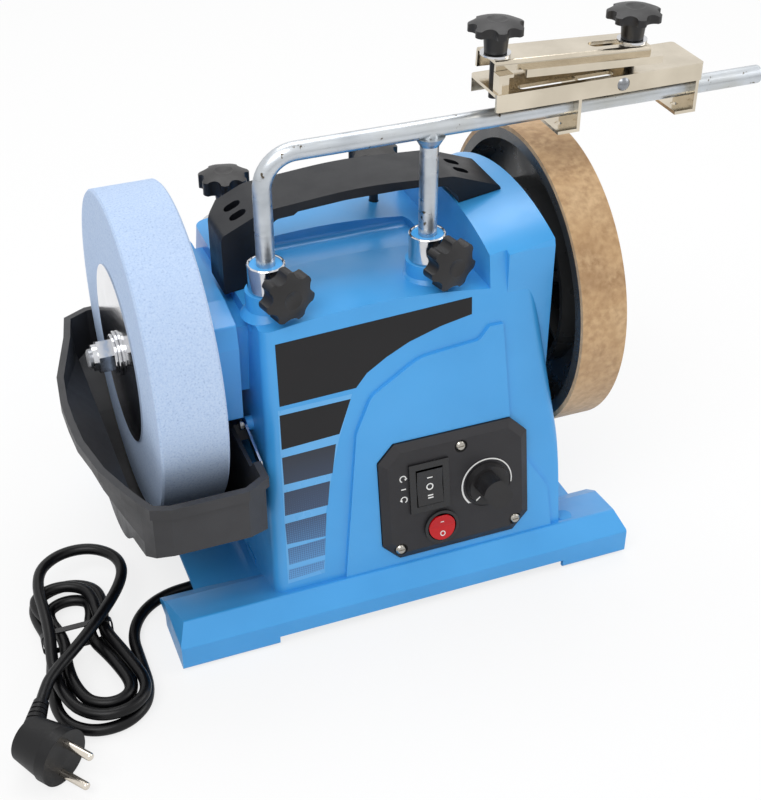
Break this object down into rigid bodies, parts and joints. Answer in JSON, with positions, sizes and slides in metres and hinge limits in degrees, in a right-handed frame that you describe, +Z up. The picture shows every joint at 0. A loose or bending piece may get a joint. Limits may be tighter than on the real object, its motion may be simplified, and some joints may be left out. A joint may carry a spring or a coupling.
{
  "type": "wet stone grinder",
  "caption": "Bench wet grinder with a large fine stone in a water trough, a leather honing wheel, a support bar with a blade jig, a carrying handle and a speed panel.",
  "frame": {"origin": "on the floor, under the middle of the machine's bounding box without its cord", "axes": "+X along the spindle from the grinding stone to the honing wheel, -Y towards the control panel, +Z up"},
  "size_m": [0.5077, 0.3039, 0.3551],
  "materials": {
    "housing_blue": "moulded, semi-gloss",
    "black_plastic": "moulded, fine texture",
    "panel_black": "moulded, fine texture",
    "switch_black": "moulded, glossy",
    "switch_red": "moulded, glossy",
    "stone": "fine sintered grit",
    "leather": "suede side out",
    "wheel_core": "moulded, dull",
    "bright_steel": "nickel plated",
    "zinc_steel": "zinc plated",
    "dark_steel": "plain",
    "tyre_rubber": "moulded",
    "foot_rubber": "moulded",
    "motor_steel": "plain sheet",
    "board": "laminate",
    "cord_black": "smooth jacket",
    "bush_plastic": "moulded"
  },
  "bodies": {
    "machine": {"housing": "housing_blue", "base_plate": "motor_steel", "rubber_feet": "foot_rubber", "base_screws": "dark_steel", "handle": "black_plastic", "handle_screws": "dark_steel", "front_collar_left": "bright_steel", "front_collar_right": "bright_steel", "rear_collar_left": "bright_steel", "rear_collar_right": "bright_steel", "panel_bezel": "panel_black", "panel_screws": "dark_steel", "direction_switch_case": "switch_black", "power_switch_case": "switch_black", "potentiometer": "board", "motor_can": "motor_steel", "motor_end_cap": "motor_steel", "motor_bracket": "motor_steel", "motor_screws": "dark_steel", "control_board": "board", "bearing_left": "dark_steel", "bearing_right": "dark_steel", "side_screws": "dark_steel", "cord_gland": "cord_black", "power_cord_lead": "cord_black", "power_cord_hank": "cord_black", "cord_tie": "black_plastic", "plug_body": "cord_black", "plug_pins": "bright_steel"},
    "spindle": {"main_shaft": "dark_steel", "grinding_stone": "stone", "stone_bush": "bush_plastic", "stone_face_disc": "bright_steel", "stone_back_flange": "dark_steel", "stone_washers": "bright_steel", "stone_nut": "bright_steel", "drive_wheel": "wheel_core", "drive_tyre": "tyre_rubber", "honing_wheel_core": "wheel_core", "honing_leather": "leather", "honing_nut": "bright_steel"},
    "rotor": {"motor_rotor": "dark_steel", "friction_roller": "dark_steel"},
    "direction_switch": {"direction_rocker": "switch_black"},
    "power_switch": {"power_rocker": "switch_red"},
    "speed_dial": {"speed_knob": "black_plastic"},
    "guide_knob_left": {"front_knob_left": "black_plastic"},
    "guide_knob_right": {"front_knob_right": "black_plastic"},
    "rear_guide_knob_left": {"rear_knob_left": "black_plastic"},
    "rear_guide_knob_right": {"rear_knob_right": "black_plastic"},
    "bar": {"support_bar": "zinc_steel"},
    "jig": {"jig_base": "bright_steel", "jig_legs": "bright_steel", "jig_rivet": "dark_steel"},
    "jig_clamp": {"jig_clamp_bar": "bright_steel", "jig_washers": "bright_steel"},
    "clamp_knob_left": {"jig_knob_left": "black_plastic"},
    "clamp_knob_right": {"jig_knob_right": "black_plastic"},
    "trough": {"water_trough": "black_plastic"},
    "latch": {"trough_latch": "bright_steel"}
  },
  "joints": [
    {"name": "spindle_spin", "type": "hinge", "parent": "machine", "child": "spindle", "pos_m": [-0.01535, 0.0065, 0.16], "axis": [1, 0, 0], "continuous": true},
    {"name": "motor_spin", "type": "hinge", "parent": "machine", "child": "rotor", "pos_m": [0.03265, 0.0065, 0.08885], "axis": [1, 0, 0], "continuous": true},
    {"name": "direction_tilt", "type": "hinge", "parent": "machine", "child": "direction_switch", "pos_m": [-0.01405, -0.0909, 0.08422], "axis": [1, 0, 0], "range_deg": [-8, 8]},
    {"name": "power_tilt", "type": "hinge", "parent": "machine", "child": "power_switch", "pos_m": [-0.00705, -0.09632, 0.05369], "axis": [1, 0, 0], "range_deg": [-7, 7]},
    {"name": "speed_turn", "type": "hinge", "parent": "machine", "child": "speed_dial", "pos_m": [0.02495, -0.09562, 0.07688], "axis": [0, -0.9873, 0.159], "range_deg": [-135, 135]},
    {"name": "guide_knob_left_turn", "type": "hinge", "parent": "machine", "child": "guide_knob_left", "pos_m": [-0.09735, -0.0455, 0.223], "axis": [0.2419, -0.9703, 0], "range_deg": [-360, 360]},
    {"name": "guide_knob_right_turn", "type": "hinge", "parent": "machine", "child": "guide_knob_right", "pos_m": [0.00225, -0.0455, 0.223], "axis": [0.2419, -0.9703, 0], "range_deg": [-360, 360]},
    {"name": "rear_knob_left_turn", "type": "hinge", "parent": "machine", "child": "rear_guide_knob_left", "pos_m": [-0.09195, 0.0565, 0.2186], "axis": [0, 0, 1], "range_deg": [-360, 360]},
    {"name": "rear_knob_right_turn", "type": "hinge", "parent": "machine", "child": "rear_guide_knob_right", "pos_m": [0.00765, 0.0565, 0.2186], "axis": [0, 0, 1], "range_deg": [-360, 360]},
    {"name": "bar_height", "type": "slide", "parent": "machine", "child": "bar", "axis": [0, 0, 1], "range_m": [-0.03, 0.02]},
    {"name": "jig_slide", "type": "slide", "parent": "bar", "child": "jig", "axis": [1, 0, 0], "range_m": [-0.064, 0.045]},
    {"name": "clamp_lift", "type": "slide", "parent": "jig", "child": "jig_clamp", "axis": [0, 0, 1], "range_m": [0, 0.004]},
    {"name": "clamp_knob_left_turn", "type": "hinge", "parent": "jig_clamp", "child": "clamp_knob_left", "pos_m": [0.04365, -0.0395, 0.3366], "axis": [0, 0, 1], "range_deg": [-360, 360]},
    {"name": "clamp_knob_right_turn", "type": "hinge", "parent": "jig_clamp", "child": "clamp_knob_right", "pos_m": [0.13065, -0.0395, 0.3323], "axis": [0, 0, 1], "range_deg": [-360, 360]},
    {"name": "trough_lift", "type": "slide", "parent": "machine", "child": "trough", "axis": [0, 0, 1], "range_m": [0, 0.0085]},
    {"name": "latch_swing", "type": "hinge", "parent": "machine", "child": "latch", "pos_m": [-0.11587, -0.0475, 0.127], "axis": [-1, 0, 0], "range_deg": [0, 70]}
  ],
  "couplings": [
    {"joint": "motor_spin", "follows": "spindle_spin", "ratio": -6.8889}
  ]
}
